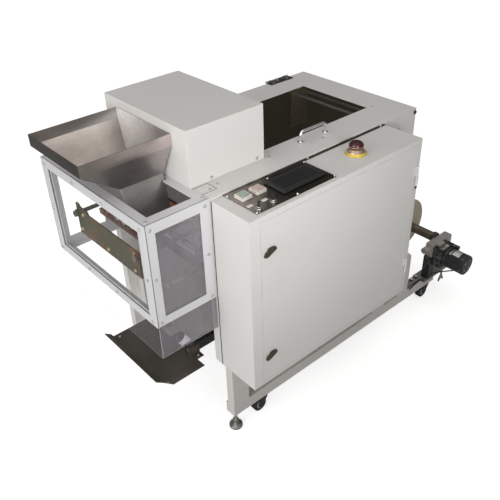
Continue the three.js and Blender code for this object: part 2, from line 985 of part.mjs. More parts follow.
piece(
  "tension_screw",
  join(
    rod("z", [1125, 142], -268, BEAM.top + 14, 4, 4, 12),
    rod("z", [1125, 142], BEAM.top + 6.3, BEAM.top + 14, 8, 8, 6),
    outlineXZ(
      [
        [1121, -250],
        [1129, -250],
        [1141, -272],
        [1138, -280],
        [1125, -266],
        [1112, -280],
        [1109, -272],
      ],
      139.5,
      144.5,
    ),
  ),
  0xa09c94,
  1,
  0.3,
);

// ---- feet and casters ----
for (const [side, y] of [["near", 158], ["far", mirrorY(158)]]) {
  piece(
    "levelling_foot_" + side,
    join(
      turned(
        [FOOT_X, y],
        [
          [0, FLOOR],
          [21.5, FLOOR],
          [21.5, FLOOR + 9],
          [9, FLOOR + 15],
          [6, FLOOR + 16],
          [6, -214],
          [0, -214],
        ],
      ),
      rod("z", [FOOT_X, y], FLOOR + 24, FLOOR + 32, 10, 10, 6),
    ),
    0x5a5856,
    1,
    0.4,
  );
}
// Swivel casters: the fork trails behind its stem.
const TRAIL = 14;
function caster(name, x, y) {
  const top = BEAM.bottom - GAP;
  const axleZ = FLOOR + WHEEL_RADIUS;
  const wheelX = x - TRAIL;
  const cheek = [
    [x + 14, top - 5],
    [x + 14, top - 9],
    [wheelX + 7, axleZ - 7],
    [wheelX - 7, axleZ - 7],
    [wheelX - 8, axleZ + 6],
    [x - 16, top - 5],
  ];
  piece(
    name + "_fork",
    cut(
      join(
        rod("z", [x, y], top - 6, top, 16),
        box(x - 16, x + 14, y - 15, y + 15, top - 8.5, top - 5),
        outlineXZ(cheek, y - 15, y - 12),
        outlineXZ(cheek, y + 12, y + 15),
      ),
      rod("y", [wheelX, axleZ], y - 20, y + 20, 3.4, 3.4, 12),
    ),
    0x2b2b2c,
    1,
    0.4,
  );
  piece(
    name + "_wheel",
    join(
      rod("y", [wheelX, axleZ], y - 10, y + 10, WHEEL_RADIUS),
      rod("y", [wheelX, axleZ], y - 16.5, y + 16.5, 3, 3, 12),
    ),
    BLACK,
  );
}
for (const [end, x] of [["front", CASTER_X[0]], ["rear", CASTER_X[1]]]) {
  caster("caster_" + end + "_near", x, CASTER_Y);
  caster("caster_" + end + "_far", x, mirrorY(CASTER_Y));
}

// Set the machine on the floor with its plan centred on the origin.
const bounds = new THREE.Box3().setFromObject(group);
const centre = bounds.getCenter(new THREE.Vector3());
group.position.set(-centre.x, -centre.y, -bounds.min.z);

export default group;
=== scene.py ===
"""Looks for the roll-fed bagging machine: materials for every CAD node, the fasteners and trims
that the CAD leaves out, a pale floor, soft studio light and the camera."""
import math

import bmesh
import bpy
from mathutils import Matrix, Vector


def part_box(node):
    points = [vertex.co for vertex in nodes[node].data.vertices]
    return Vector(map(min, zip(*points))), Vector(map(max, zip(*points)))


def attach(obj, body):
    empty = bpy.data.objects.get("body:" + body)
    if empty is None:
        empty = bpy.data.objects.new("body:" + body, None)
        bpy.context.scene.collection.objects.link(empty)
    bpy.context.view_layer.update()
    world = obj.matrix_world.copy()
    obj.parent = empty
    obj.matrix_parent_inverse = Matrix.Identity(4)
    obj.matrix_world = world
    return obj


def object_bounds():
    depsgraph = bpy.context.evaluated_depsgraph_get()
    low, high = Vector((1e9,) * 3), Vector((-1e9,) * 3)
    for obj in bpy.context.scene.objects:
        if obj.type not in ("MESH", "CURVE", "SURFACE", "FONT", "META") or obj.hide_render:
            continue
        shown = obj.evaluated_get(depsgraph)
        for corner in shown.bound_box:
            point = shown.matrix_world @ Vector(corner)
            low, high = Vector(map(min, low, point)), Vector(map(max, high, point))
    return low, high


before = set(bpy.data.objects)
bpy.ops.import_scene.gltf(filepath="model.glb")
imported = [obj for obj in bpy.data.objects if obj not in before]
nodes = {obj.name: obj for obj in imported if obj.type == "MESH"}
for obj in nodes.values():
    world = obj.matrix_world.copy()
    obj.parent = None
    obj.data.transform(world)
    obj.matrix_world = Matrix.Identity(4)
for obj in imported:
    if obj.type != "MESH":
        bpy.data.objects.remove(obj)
cad_lo, cad_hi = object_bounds()
scene = bpy.context.scene

# The CAD lays its pieces out in millimetres from the cabinet's lower corner. The deck fixes where that is.
MM = 0.001
DECK_LEFT, DECK_FAR, DECK_TOP = 0.3, 632.0, 546.3
deck_lo, deck_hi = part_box("deck_plate")
DATUM = Vector((deck_lo.x, deck_hi.y, deck_hi.z)) - Vector((DECK_LEFT, DECK_FAR, DECK_TOP)) * MM


def at(x, y, z):
    """A point of the CAD layout, in millimetres, as metres in the row frame."""
    return DATUM + Vector((x, y, z)) * MM


# ---- camera ----
CAMERA_AT = (-803.2, -949.8, 1308.0)
CAMERA_AZIMUTH, CAMERA_ELEVATION, CAMERA_ROLL = -40.22, 34.10, -2.04
SENSOR_WIDTH, FOCAL_LENGTH = 36.0, 46.26
camera = bpy.data.objects.new("camera", bpy.data.cameras.new("camera"))
scene.collection.objects.link(camera)
camera.data.sensor_width = SENSOR_WIDTH
camera.data.lens = FOCAL_LENGTH
camera.data.clip_start, camera.data.clip_end = 0.05, 60.0
az, el, roll = (math.radians(v) for v in (CAMERA_AZIMUTH, CAMERA_ELEVATION, CAMERA_ROLL))
back = Vector((math.sin(az) * math.cos(el), -math.cos(az) * math.cos(el), math.sin(el)))
right = Vector((math.cos(az), math.sin(az), 0.0))
up = back.cross(right)
right, up = (
    right * math.cos(roll) + up * math.sin(roll),
    up * math.cos(roll) - right * math.sin(roll),
)
turn = Matrix((right, up, back)).transposed().to_4x4()
camera.matrix_world = Matrix.Translation(at(*CAMERA_AT)) @ turn
scene.camera = camera


# ---- materials ----
GRAIN_DEPTH = 0.0004


def new_material(name):
    """A material, its node tree and its shader."""
    m = bpy.data.materials.new(name)
    m.use_nodes = True
    return m, m.node_tree, m.node_tree.nodes["Principled BSDF"]


def noise(tree, scale, detail=4.0, roughness=0.55, stretch=(1, 1, 1)):
    """A noise texture in metres, drawn out along an axis by a small stretch there."""
    where = tree.nodes.new("ShaderNodeTexCoord")
    mapping = tree.nodes.new("ShaderNodeMapping")
    mapping.inputs["Scale"].default_value = stretch
    texture = tree.nodes.new("ShaderNodeTexNoise")
    texture.inputs["Scale"].default_value = scale
    texture.inputs["Detail"].default_value = detail
    texture.inputs["Roughness"].default_value = roughness
    tree.links.new(where.outputs["Object"], mapping.inputs["Vector"])
    tree.links.new(mapping.outputs["Vector"], texture.inputs["Vector"])
    return texture.outputs["Fac"]


def ramp(tree, source, low, high, start=0.3, end=0.7):
    """Two colours or greys blended by a texture between start and end."""
    node = tree.nodes.new("ShaderNodeValToRGB")
    node.color_ramp.elements[0].position = start
    node.color_ramp.elements[1].position = end
    for element, value in zip(node.color_ramp.elements, (low, high)):
        grey = isinstance(value, (int, float))
        element.color = (value, value, value, 1) if grey else (*value, 1)
    tree.links.new(source, node.inputs["Fac"])
    return node.outputs["Color"]


def bump(tree, shader, source, strength):
    """A fine grain in the surface."""
    node = tree.nodes.new("ShaderNodeBump")
    node.inputs["Strength"].default_value = strength
    node.inputs["Distance"].default_value = GRAIN_DEPTH
    tree.links.new(source, node.inputs["Height"])
    tree.links.new(node.outputs["Normal"], shader.inputs["Normal"])


def shade(color, factor):
    """A darker or lighter colour."""
    return tuple(c * factor for c in color)


def finish(
    name,
    color,
    metal=0.0,
    rough=(0.35, 0.5),
    vary=0.06,
    blotch=9.0,
    grain=500.0,
    grain_bump=0.08,
    stretch=(1, 1, 1),
    coat=0.0,
    edge=None,
):
    """Paint, plastic or metal: slow colour variation, a grain in roughness and bump, and edges
    that wear towards another colour."""
    m, tree, shader = new_material(name)
    slow = noise(tree, blotch, 5.0)
    base = ramp(tree, slow, shade(color, 1 - vary), shade(color, 1 + vary * 0.5))
    if edge is not None:
        geometry = tree.nodes.new("ShaderNodeNewGeometry")
        worn = ramp(tree, geometry.outputs["Pointiness"], 0.0, 1.0, 0.52, 0.60)
        broken = ramp(tree, noise(tree, 60.0, 6.0), 0.0, 1.0, 0.45, 0.6)
        both = tree.nodes.new("ShaderNodeMath")
        both.operation = "MULTIPLY"
        tree.links.new(worn, both.inputs[0])
        tree.links.new(broken, both.inputs[1])
        mix = tree.nodes.new("ShaderNodeMixRGB")
        mix.inputs["Color2"].default_value = (*edge, 1)
        tree.links.new(both.outputs[0], mix.inputs["Fac"])
        tree.links.new(base, mix.inputs["Color1"])
        base = mix.outputs["Color"]
    tree.links.new(base, shader.inputs["Base Color"])
    fine = noise(tree, grain, 3.0, 0.6, stretch)
    tree.links.new(ramp(tree, fine, rough[0], rough[1]), shader.inputs["Roughness"])
    shader.inputs["Metallic"].default_value = metal
    shader.inputs["Coat Weight"].default_value = coat
    shader.inputs["Coat Roughness"].default_value = 0.15
    bump(tree, shader, fine, grain_bump)
    return m


def clear(name, tint, opacity, rough=0.05, haze=0.3, gloss=0.5):
    """Clear sheet: mostly see-through, with a thin tint, gloss and faint scuffs."""
    m, tree, shader = new_material(name)
    smear = noise(tree, 14.0, 5.0, 0.6, (1, 1, 0.4))
    tree.links.new(ramp(tree, smear, shade(tint, 0.92), tint), shader.inputs["Base Color"])
    tree.links.new(ramp(tree, smear, rough, rough + 0.08), shader.inputs["Roughness"])
    low, high = opacity * (1 - haze), opacity * (1 + haze)
    tree.links.new(ramp(tree, smear, low, high), shader.inputs["Alpha"])
    shader.inputs["IOR"].default_value = 1.5
    shader.inputs["Specular IOR Level"].default_value = gloss
    return m


WHITE = finish(
    "white_paint",
    (0.545, 0.535, 0.52),
    rough=(0.38, 0.48),
    vary=0.025,
    blotch=3.0,
    grain=900.0,
    grain_bump=0.05,
)
STAINLESS = finish(
    "brushed_stainless",
    (0.40, 0.365, 0.345),
    metal=1.0,
    rough=(0.26, 0.36),
    vary=0.10,
    blotch=5.0,
    grain=900.0,
    grain_bump=0.04,
    stretch=(0.03, 1.0, 1.0),
)
ALUMINIUM = finish(
    "strip_aluminium",
    (0.57, 0.565, 0.58),
    metal=0.2,
    rough=(0.32, 0.44),
    vary=0.03,
    blotch=5.0,
    grain=700.0,
    grain_bump=0.04,
    stretch=(1, 1, 0.1),
)
CHROME = finish(
    "chrome",
    (0.78, 0.78, 0.79),
    metal=1.0,
    rough=(0.06, 0.12),
    vary=0.03,
    blotch=40.0,
    grain=300.0,
    grain_bump=0.02,
)
ZINC = finish(
    "zinc_plate",
    (0.42, 0.41, 0.385),
    metal=1.0,
    rough=(0.26, 0.45),
    vary=0.15,
    blotch=60.0,
    grain=700.0,
    grain_bump=0.10,
)
LATCH = finish(
    "latch_bronze",
    (0.085, 0.08, 0.055),
    metal=0.8,
    rough=(0.2, 0.4),
    vary=0.3,
    blotch=90.0,
    grain=700.0,
    grain_bump=0.10,
)
BLACK_STEEL = finish(
    "black_steel",
    (0.014, 0.014, 0.015),
    rough=(0.30, 0.46),
    vary=0.25,
    blotch=30.0,
    grain=600.0,
    grain_bump=0.12,
    edge=(0.16, 0.155, 0.15),
)
BLACK_PLASTIC = finish(
    "black_plastic",
    (0.014, 0.014, 0.016),
    rough=(0.38, 0.5),
    vary=0.1,
    blotch=50.0,
    grain=1500.0,
    grain_bump=0.1,
)
RUBBER = finish(
    "rubber",
    (0.013, 0.013, 0.014),
    rough=(0.5, 0.7),
    vary=0.2,
    blotch=80.0,
    grain=900.0,
    grain_bump=0.25,
)
SCREEN = finish(
    "screen_bezel",
    (0.012, 0.012, 0.013),
    rough=(0.3, 0.4),
    vary=0.08,
    blotch=40.0,
    grain=1400.0,
    grain_bump=0.05,
)
GLASS = finish(
    "screen_glass",
    (0.008, 0.009, 0.009),
    rough=(0.07, 0.12),
    vary=0.2,
    blotch=12.0,
    grain=300.0,
    grain_bump=0.01,
)
IVORY = finish(
    "ivory_bezel",
    (0.56, 0.52, 0.48),
    rough=(0.25, 0.35),
    vary=0.04,
    blotch=80.0,
    grain=900.0,
    grain_bump=0.03,
)
GREEN = finish(
    "green_lens",
    (0.245, 0.31, 0.26),
    rough=(0.14, 0.24),
    vary=0.15,
    blotch=90.0,
    grain=800.0,
    grain_bump=0.03,
    coat=0.6,
)
RED_LENS = finish(
    "red_lens",
    (0.42, 0.30, 0.28),
    rough=(0.14, 0.24),
    vary=0.15,
    blotch=90.0,
    grain=800.0,
    grain_bump=0.03,
    coat=0.6,
)
YELLOW = finish(
    "yellow_collar",
    (0.62, 0.46, 0.06),
    metal=0.35,
    rough=(0.10, 0.18),
    vary=0.10,
    blotch=60.0,
    grain=900.0,
    grain_bump=0.02,
    coat=0.9,
)
RED = finish(
    "red_head",
    (0.050, 0.002, 0.006),
    rough=(0.16, 0.24),
    vary=0.12,
    blotch=60.0,
    grain=900.0,
    grain_bump=0.02,
    coat=0.15,
)
PINK_RING = finish(
    "actuator_ring",
    (0.42, 0.30, 0.26),
    metal=0.8,
    rough=(0.10, 0.2),
    vary=0.10,
    blotch=60.0,
    grain=900.0,
    grain_bump=0.02,
    coat=0.5,
)
COPPER = finish(
    "copper_bar",
    (0.40, 0.15, 0.065),
    metal=0.85,
    rough=(0.25, 0.42),
    vary=0.35,
    blotch=30.0,
    grain=600.0,
    stretch=(2, 0.1, 2),
)
DARK_PLATE = finish(
    "dark_brown_plate",
    (0.075, 0.065, 0.056),
    metal=0.2,
    rough=(0.32, 0.48),
    vary=0.25,
    blotch=8.0,
    grain=520.0,
    grain_bump=0.10,
    edge=(0.15, 0.12, 0.10),
)
MILLED = finish(
    "milled_aluminium",
    (0.40, 0.37, 0.345),
    metal=0.35,
    rough=(0.3, 0.45),
    vary=0.12,
    blotch=25.0,
    grain=600.0,
    grain_bump=0.06,
    stretch=(0.1, 2, 2),
)
BROWN_TUBE = finish(
    "brown_tube",
    (0.15, 0.122, 0.092),
    metal=0.5,
    rough=(0.26, 0.42),
    vary=0.35,
    blotch=18.0,
    grain=300.0,
    grain_bump=0.06,
    stretch=(2, 0.1, 2),
)
TAN = finish(
    "tan_disc",
    (0.40, 0.355, 0.275),
    rough=(0.5, 0.65),
    vary=0.10,
    blotch=20.0,
    grain=700.0,
    grain_bump=0.2,
)
GREY_PLATE = finish(
    "grey_plate", (0.30, 0.29, 0.275), metal=0.4, vary=0.15, blotch=15.0, grain=400.0, grain_bump=0.06
)
MODULES = finish(
    "electrics_grey",
    (0.24, 0.26, 0.27),
    rough=(0.4, 0.55),
    vary=0.1,
    blotch=30.0,
    grain=900.0,
    grain_bump=0.06,
)
LABEL = finish(
    "silver_label",
    (0.62, 0.61, 0.59),
    metal=0.5,
    rough=(0.2, 0.32),
    vary=0.12,
    blotch=120.0,
    grain_bump=0.03,
)
OLIVE_LABEL = finish(
    "olive_label",
    (0.20, 0.185, 0.12),
    metal=0.4,
    rough=(0.25, 0.35),
    vary=0.2,
    blotch=120.0,
    grain_bump=0.03,
)
MILKY = finish(
    "milky_plastic",
    (0.42, 0.39, 0.42),
    rough=(0.2, 0.35),
    vary=0.2,
    blotch=60.0,
    grain_bump=0.05,
    coat=0.4,
)
GAP = finish(
    "shadow_gap", (0.035, 0.033, 0.03), rough=(0.7, 0.8), vary=0.1, blotch=60.0, grain_bump=0.05
)
FAINT_EDGE = clear("faint_edge", (0.5, 0.5, 0.52), opacity=0.22)
CLEAR_EDGE = finish(
    "sheet_edge", (0.66, 0.67, 0.69), rough=(0.15, 0.25), vary=0.05, blotch=60.0, grain_bump=0.02
)
CLEAR = clear("clear_sheet", (0.70, 0.72, 0.74), opacity=0.03, gloss=0.12)
HAZY = clear("hazy_sheet", (0.215, 0.205, 0.225), opacity=0.50, rough=0.06, haze=0.5)
SMOKED = clear("smoked_sheet", (0.024, 0.018, 0.006), opacity=0.34, rough=0.04, haze=0.06, gloss=0.25)


def heat_tinted():
    """Plate with an olive coat burnt reddish in patches."""
    m, tree, shader = new_material("heat_tinted_plate")
    patches = noise(tree, 9.0, 4.0, 0.6, (1, 1.2, 1.4))
    tree.links.new(
        ramp(tree, patches, (0.040, 0.034, 0.005), (0.150, 0.052, 0.012), 0.50, 0.66),
        shader.inputs["Base Color"],
    )
    fine = noise(tree, 500.0, 3.0, 0.6, (1, 0.05, 1))
    tree.links.new(ramp(tree, fine, 0.26, 0.42), shader.inputs["Roughness"])
    shader.inputs["Metallic"].default_value = 0.2
    shader.inputs["Specular IOR Level"].default_value = 0.2
    bump(tree, shader, fine, 0.06)
    return m


BRONZE = heat_tinted()


X, Y, Z = 0, 1, 2


def shaded_steel(name, low, high, axis, start, end, rough=(0.28, 0.38), metal=0.85):
    """Brushed or painted sheet whose tone drifts between two colours from start to end along an
    axis, in CAD millimetres: painted light and shade, the way light falls off across large faces."""
    cloudiness = 0.35
    m, tree, shader = new_material(name)
    where = tree.nodes.new("ShaderNodeTexCoord")
    split = tree.nodes.new("ShaderNodeSeparateXYZ")
    tree.links.new(where.outputs["Object"], split.inputs[0])
    span = tree.nodes.new("ShaderNodeMapRange")
    span.inputs["From Min"].default_value = DATUM[axis] + start * MM
    span.inputs["From Max"].default_value = DATUM[axis] + end * MM
    tree.links.new(split.outputs[axis], span.inputs["Value"])
    cloud = tree.nodes.new("ShaderNodeMath")
    cloud.operation = "MULTIPLY_ADD"
    cloud.inputs[1].default_value = cloudiness
    tree.links.new(noise(tree, 9.0, 4.0), cloud.inputs[0])
    tree.links.new(span.outputs["Result"], cloud.inputs[2])
    tone = ramp(tree, cloud.outputs[0], low, high, 0.15, 1.15)
    fine = noise(tree, 900.0, 3.0, 0.6, (0.03, 1.0, 1.0))
    scuffs = ramp(tree, noise(tree, 60.0, 6.0, 0.7, (0.4, 1.0, 1.0)), 0.90, 1.06, 0.35, 0.65)
    brushed = tree.nodes.new("ShaderNodeMixRGB")
    brushed.blend_type = "MULTIPLY"
    brushed.inputs["Fac"].default_value = 1.0
    tree.links.new(tone, brushed.inputs["Color1"])
    tree.links.new(scuffs, brushed.inputs["Color2"])
    tree.links.new(brushed.outputs["Color"], shader.inputs["Base Color"])
    tree.links.new(ramp(tree, fine, rough[0], rough[1]), shader.inputs["Roughness"])
    shader.inputs["Metallic"].default_value = metal
    bump(tree, shader, fine, 0.03)
    return m


# Painted light and shade on the tray's floor: bright towards the loading end, falling to dark towards the
# hood and the chute's opening.
TRAY_FLOOR_LIGHT_AND_SHADE = shaded_steel(
    "tray_floor_painted_light_and_shade",
    (0.74, 0.66, 0.61),
    (0.15, 0.14, 0.135),
    axis=X,
    start=-80,
    end=20,
    rough=(0.4, 0.5),
    metal=0.25,
)
# A slight painted shade on the tray's inner walls, a little darker towards the loading end.
TRAY_INSIDE_SHADED = shaded_steel(
    "tray_inside_painted_shade", (0.26, 0.24, 0.225), (0.30, 0.28, 0.27), axis=X, start=-250, end=-10
)
# Painted highlight on the tray's inner wall at the hood end: bright at the far side, darker towards the near
# side.
TRAY_WALL_HIGHLIGHT = shaded_steel(
    "tray_wall_painted_highlight",
    (0.28, 0.25, 0.245),
    (0.92, 0.90, 0.88),
    axis=Y,
    start=330,
    end=530,
    rough=(0.4, 0.5),
    metal=0.5,
)
# Painted dark reflection on the outside of the tray's loading end.
TRAY_END_DARK_REFLECTION = shaded_steel(
    "tray_end_painted_reflection", (0.030, 0.024, 0.018), (0.05, 0.042, 0.034), axis=Y, start=270, end=520
)
# Painted reflection on the tray's outer sides: dark towards the loading end, light towards the hood.
TRAY_SIDE_REFLECTION = shaded_steel(
    "tray_side_painted_reflection", (0.20, 0.185, 0.15), (0.62, 0.53, 0.51), axis=X, start=-230, end=10
)
# Painted shade on the tray's underside, darker towards the loading end.
TRAY_UNDER_SHADED = shaded_steel(
    "tray_under_painted_shade", (0.21, 0.195, 0.185), (0.50, 0.45, 0.44), axis=X, start=-130, end=0
)
# Painted shade on the drop chute, slightly darker towards the bottom.
CHUTE_SHADED = shaded_steel("chute_side_painted_shade", (0.22, 0.21, 0.20), (0.28, 0.27, 0.26), axis=Z, start=470, end=560)
# Painted reflection on the control plate: light at its left end, falling to dark towards the right.
PANEL_PLATE_REFLECTION = shaded_steel(
    "panel_plate_painted_reflection",
    (0.40, 0.37, 0.345),
    (0.085, 0.070, 0.052),
    axis=X,
    start=10,
    end=200,
    rough=(0.2, 0.28),
    metal=1.0,
)
# The base frame in a darkened copy of the white paint: painted shade under the cabinet.
FRAME_PAINT_SHADED = finish(
    "frame_painted_shade",
    (0.515, 0.50, 0.475),
    rough=(0.4, 0.5),
    vary=0.03,
    blotch=3.0,
    grain=900.0,
    grain_bump=0.05,
)
# The plate behind the bags made dark: painted shade inside the body.
BAG_PLATE_SHADED = finish(
    "bag_plate_painted_shade", (0.19, 0.188, 0.165), vary=0.08, blotch=6.0, grain=900.0, grain_bump=0.04
)
# White paint inside the body, brightened near the front as painted light and falling to painted shade deeper
# inside.
INSIDE_LIGHT_AND_SHADE = shaded_steel(
    "inside_painted_light_and_shade",
    (0.70, 0.68, 0.65),
    (0.085, 0.078, 0.062),
    axis=X,
    start=300,
    end=390,
    rough=(0.45, 0.55),
    metal=0.0,
)
PLATED = finish(
    "yellow_plated",
    (0.42, 0.38, 0.22),
    metal=0.4,
    rough=(0.35, 0.45),
    vary=0.1,
    blotch=30.0,
    grain=700.0,
    grain_bump=0.05,
)

CASTERS = [f"caster_{end}_{side}" for end in ("front", "rear") for side in ("near", "far")]
LOOKS = {
    WHITE: [
        "body_shell",
        "deck_plate",
        "hood",
        "lid_frame",
        "cabinet_shell",
        "cabinet_door",
    ],
    FRAME_PAINT_SHADED: ["base_frame"],
    BAG_PLATE_SHADED: ["bag_back_plate"],
    STAINLESS: ["loading_tray"],
    CHUTE_SHADED: ["drop_chute"],
    ALUMINIUM: [
        "guard_front_frame",
        "guard_near_frame",
        "guard_far_frame",
        "guard_angle_frame",
    ],
    CLEAR: ["guard_front_panel", "guard_far_panel"],
    HAZY: ["guard_near_panel"],
    LABEL: ["film_guide_rods"],
    LATCH: ["door_latch_upper", "door_latch_lower"],
    SMOKED: ["lid_window"],
    CHROME: ["lid_handle", "guide_roller"],
    BLACK_STEEL: [
        "lid_hinge_left",
        "lid_hinge_right",
        "shelf_arm",
        "unwind_motor",
        *(f"{caster}_fork" for caster in CASTERS),
    ],
    ZINC: [
        "tension_screw",
        "levelling_foot_near",
        "levelling_foot_far",
    ],
    MODULES: ["electrics_plate"],
    BLACK_PLASTIC: ["mains_inlet", "toggle_bat_left", "toggle_bat_right"],
    PANEL_PLATE_REFLECTION: ["control_plate"],
    SCREEN: ["touch_screen"],
    IVORY: ["start_button_bezel", "stop_button_bezel"],
    GREEN: ["start_button"],
    RED_LENS: ["stop_button"],
    YELLOW: ["estop_base"],
    RED: ["estop_button"],
    BRONZE: ["seal_bar"],
    COPPER: ["heater_bar"],
    RUBBER: [
        "feed_roller_lower",
        "feed_roller_upper",
        "motor_lead",
        *(f"{caster}_wheel" for caster in CASTERS),
    ],
    DARK_PLATE: ["bag_shelf"],
    GREY_PLATE: ["unwind_bracket"],
    MILLED: ["unwind_housing"],
    BROWN_TUBE: ["unwind_spindle"],
    TAN: ["roll_flange"],
}

NO_BEVEL = {"guard_front_panel", "guard_near_panel", "guard_far_panel", "motor_lead"}
FINE_BEVEL = {"toggle_bat_left", "toggle_bat_right", "lid_hinge_left", "lid_hinge_right"}
WELD_REACH, BEVEL_WIDTH, FINE_BEVEL_WIDTH = 0.03, 0.7, 0.2
BEVEL_FROM_ANGLE = math.radians(40)


def dress(name, material):
    """Gives a CAD node its material and softens its edges."""
    o = nodes[name]
    o.data.materials.clear()
    o.data.materials.append(material)
    if "custom_normal" in o.data.attributes:
        o.data.attributes.remove(o.data.attributes["custom_normal"])
    for face in o.data.polygons:
        face.use_smooth = True
    weld = o.modifiers.new("weld", "WELD")
    weld.merge_threshold = WELD_REACH * MM
    if name not in NO_BEVEL:
        bevel = o.modifiers.new("bevel", "BEVEL")
        bevel.width = (FINE_BEVEL_WIDTH if name in FINE_BEVEL else BEVEL_WIDTH) * MM
        bevel.segments = 2
        bevel.limit_method = "ANGLE"
        bevel.angle_limit = BEVEL_FROM_ANGLE
        bevel.use_clamp_overlap = True
    weighted = o.modifiers.new("weighted", "WEIGHTED_NORMAL")
    weighted.keep_sharp = True


for material, names in LOOKS.items():
    for name in names:
        dress(name, material)


def second_material(name, material, chosen):
    """Gives some faces of a CAD node another material. chosen takes a face's centre and normal."""
    o = nodes[name]
    o.data.materials.append(material)
    for face in o.data.polygons:
        if chosen((face.center - DATUM) / MM, face.normal):
            face.material_index = len(o.data.materials) - 1


# Cut edges of the clear sheets.
second_material("guard_near_panel", CLEAR_EDGE, lambda c, n: abs(n.y) < 0.5)
second_material("guard_front_panel", FAINT_EDGE, lambda c, n: abs(n.x) < 0.5)
second_material("guard_far_panel", FAINT_EDGE, lambda c, n: abs(n.y) < 0.5)

# The spindle's black journal and its fixed disc; the bracket's black clamp and post.
second_material("unwind_spindle", BLACK_STEEL, lambda c, n: c.y < 173.0)
second_material("unwind_spindle", TAN, lambda c, n: 544.0 < c.y < 551.0)
second_material("unwind_bracket", BLACK_STEEL, lambda c, n: c.x < 991.0 and n.z < 0.5)
second_material("unwind_bracket", BLACK_STEEL, lambda c, n: c.z > -204.0 and 1000 < c.x < 1040)

# The insides of the body's sheets, up to the inner face of the far one: white paint with painted light near
# the front and painted shade deeper inside.
BODY_MIDDLE = Vector((405.0, 396.0))
second_material(
    "body_shell",
    INSIDE_LIGHT_AND_SHADE,
    lambda c, n: c.y < 631.0 and abs(n.z) < 0.5 and n.xy.dot(BODY_MIDDLE - c.xy) > 0,
)
second_material("film_guide_rods", PLATED, lambda c, n: c.y > 579 or c.y < 194)

# The tray, face by face, with painted light, shade and reflection on its faces.
TRAY_MIDDLE = Vector((-134.0, 396.0))


def in_tray(c, n):
    """True for the faces on the inside of the tray."""
    return n.xy.dot(c.xy - TRAY_MIDDLE) < 0


def upright(n):
    return abs(n.z) <= 0.2


second_material("loading_tray", TRAY_INSIDE_SHADED, lambda c, n: in_tray(c, n) and upright(n))
second_material("loading_tray", TRAY_WALL_HIGHLIGHT, lambda c, n: in_tray(c, n) and upright(n) and n.x < -0.5)
second_material("loading_tray", TRAY_FLOOR_LIGHT_AND_SHADE, lambda c, n: in_tray(c, n) and n.z > 0.2)
second_material("loading_tray", TRAY_END_DARK_REFLECTION, lambda c, n: not in_tray(c, n) and upright(n) and n.x < -0.5)
second_material("loading_tray", TRAY_SIDE_REFLECTION, lambda c, n: not in_tray(c, n) and upright(n) and abs(n.y) > 0.5)
second_material("loading_tray", TRAY_UNDER_SHADED, lambda c, n: not in_tray(c, n) and n.z < -0.2)

# The screen's glass inside its bezel, and the bright far leaves of the lid hinges.
second_material("touch_screen", GLASS, lambda c, n: n.z > 0.9 and 545.0 < c.z < 549.5)
for hinge in ("lid_hinge_left", "lid_hinge_right"):
    second_material(hinge, ZINC, lambda c, n: c.y > 630.2 or c.z > 549.6)


# ---- pieces made here ----
FRONT, REAR = (-1, 0, 0), (1, 0, 0)
NEAR, FAR = (0, -1, 0), (0, 1, 0)
TOP = (0, 0, 1)

# Where the CAD's faces are, in its millimetres.
BODY_NEAR, BODY_FAR, BODY_REAR = 141, 632, 811
HOOD_SCREW_NEAR, HOOD_SCREW_FAR, HOOD_SCREW_HEIGHT = 211.6, 578, 556
GUARD_FRONT, GUARD_NEAR, GUARD_FAR = -191, 143, 656
PANEL_TOP = 541.8
ESTOP_X, ESTOP_Y = 445, 68
SEAL_BAR_FRONT = -160
HEATER_X, HEATER_TOP = -97, 398
BAG_ROD_Y, BAG_ROD_Z = 230, 284
SHELF_TOP = -65
MOTOR_X, MOTOR_Z, MOTOR_RADIUS = 1049, -98, 38.4
GEARHEAD_TOP = -58.3
UNWIND_HOUSING_TOP, UNWIND_BRACKET_TOP = -52, -206

# Outlines of turned pieces: radius and height pairs, in millimetres.
SCREW_HEAD = [(0, 0), (1, 0), (1, 0.25), (0.86, 0.5), (0.55, 0.62), (0.46, 0.62), (0.42, 0.25), (0, 0.25)]
ESTOP_COLLAR = [
    (18.9, 10.2),
    (21.4, 8.2),
    (25.2, 3.6),
    (25.3, 2.9),
    (24.6, 2.6),
    (21.0, 6.6),
    (18.6, 9.3),
    (18.9, 10.2),
]
ESTOP_CROWN = [(11.6, 0.9), (12.6, 1.5), (13.8, 0.8), (13.4, 0.1), (11.6, 0.9)]
BUMPER = [(0, 0), (5.6, 0), (6.2, 0.8), (5.6, 3.2), (4.0, 4.4), (0, 4.6)]
SEAL_BOLT = [(0, 0), (3.8, 0), (3.8, 2.4), (3.2, 3.2), (2.2, 3.2), (1.9, 1.6), (0, 1.6)]
FITTING = [(0, 0), (4.4, 0), (4.6, 1), (4.6, 5), (3.8, 6), (0, 6)]
HEATER_SCREW = [(0, 0), (4.6, 0), (4.6, 3.4), (3.8, 4.2), (0, 4.2)]
BAG_ROD = [(0, 0), (3.2, 0), (3.2, 92), (0, 92)]
KNOB = [(0, 0), (4.4, 0), (6.6, 1.6), (7.4, 5.0), (6.6, 9.4), (4.0, 11.6), (0, 12.0)]
BOLT_CAP = [(0, 0), (5.6, 0), (5.6, 2.6), (4.4, 4.2), (0, 4.6)]
CASTER_HUB = [
    (3.2, 0),
    (15.5, 0),
    (15.5, 0.7),
    (13.8, 1.3),
    (9.0, 0.7),
    (6.4, 1.6),
    (3.2, 1.6),
    (3.2, 0),
]


def make(name, bm, material, body, smooth=False):
    """Turns a bmesh into a piece that rides on a body."""
    mesh = bpy.data.meshes.new(name)
    bm.to_mesh(mesh)
    bm.free()
    mesh.materials.append(material)
    if smooth:
        for face in mesh.polygons:
            face.use_smooth = True
    o = bpy.data.objects.new(name, mesh)
    scene.collection.objects.link(o)
    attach(o, body)


